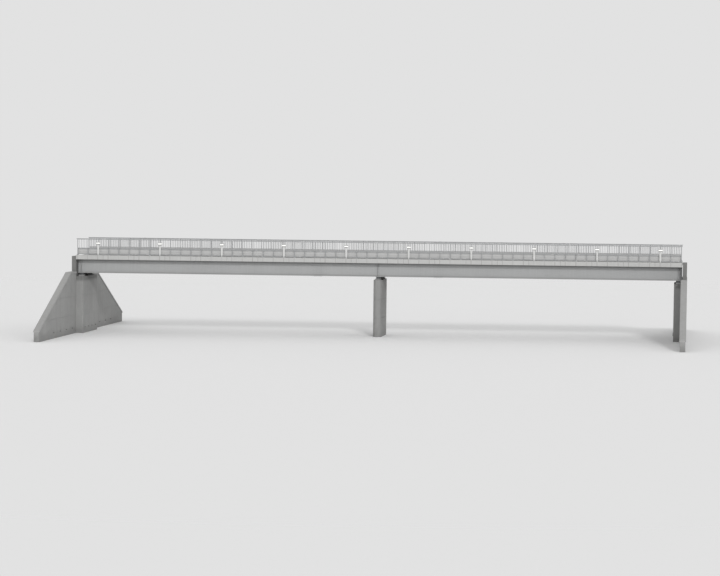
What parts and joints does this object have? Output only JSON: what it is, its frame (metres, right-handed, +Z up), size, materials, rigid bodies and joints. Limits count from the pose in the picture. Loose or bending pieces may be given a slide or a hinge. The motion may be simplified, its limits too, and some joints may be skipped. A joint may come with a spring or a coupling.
{
  "type": "two-span overbridge, 1:2 scale model",
  "caption": "Girder bridge over a dual carriageway, with a leaf pier, winged abutments, barred parapets and parapet lamps.",
  "frame": {"origin": "ground level below the middle of the pier, at the centre of the bridge in plan", "axes": "+X along the deck towards the right end, +Y away from the near parapet, which carries the lamps, +Z up"},
  "size_m": [31.0738, 14.3502, 4.574],
  "materials": {
    "wall_concrete": "matte",
    "pier_concrete": "matte",
    "precast_concrete": "matte",
    "deck_concrete": "matte",
    "surfacing": "matte",
    "girder_paint": "satin",
    "bearing_steel": "satin",
    "galvanised_steel": "satin",
    "panel_steel": "satin",
    "joint_rubber": "matte",
    "lamp_grey": "satin",
    "lamp_lens": "gloss"
  },
  "bodies": {
    "root": {"pier_wall": "pier_concrete", "pier_plinths": "pier_concrete", "pier_bearings": "bearing_steel", "left_front_wall": "wall_concrete", "left_back_wall": "wall_concrete", "left_plinths": "wall_concrete", "left_bearings": "bearing_steel", "left_near_wing_wall": "wall_concrete", "left_far_wing_wall": "wall_concrete", "left_near_coping": "precast_concrete", "left_far_coping": "precast_concrete", "right_front_wall": "wall_concrete", "right_back_wall": "wall_concrete", "right_plinths": "wall_concrete", "right_bearings": "bearing_steel", "right_near_wing_wall": "wall_concrete", "right_far_wing_wall": "wall_concrete", "right_near_coping": "precast_concrete", "right_far_coping": "precast_concrete", "near_girder_left": "girder_paint", "near_girder_middle": "girder_paint", "near_girder_right": "girder_paint", "far_girder_left": "girder_paint", "far_girder_middle": "girder_paint", "far_girder_right": "girder_paint", "girder_splices": "girder_paint", "left_cross_frames": "girder_paint", "right_cross_frames": "girder_paint", "support_diaphragms": "girder_paint", "deck_slab": "deck_concrete", "deck_surfacing": "surfacing", "near_edge_beam": "precast_concrete", "far_edge_beam": "precast_concrete", "movement_joints": "joint_rubber", "near_posts": "galvanised_steel", "near_rails": "galvanised_steel", "near_panels": "panel_steel", "near_bars_left": "galvanised_steel", "near_bars_right": "galvanised_steel", "far_posts": "galvanised_steel", "far_rails": "galvanised_steel", "far_panels": "panel_steel", "far_bars_left": "galvanised_steel", "far_bars_right": "galvanised_steel", "lamp_housings": "lamp_grey", "lamp_lenses": "lamp_lens", "lamp_conduit": "lamp_grey"}
  },
  "joints": []
}
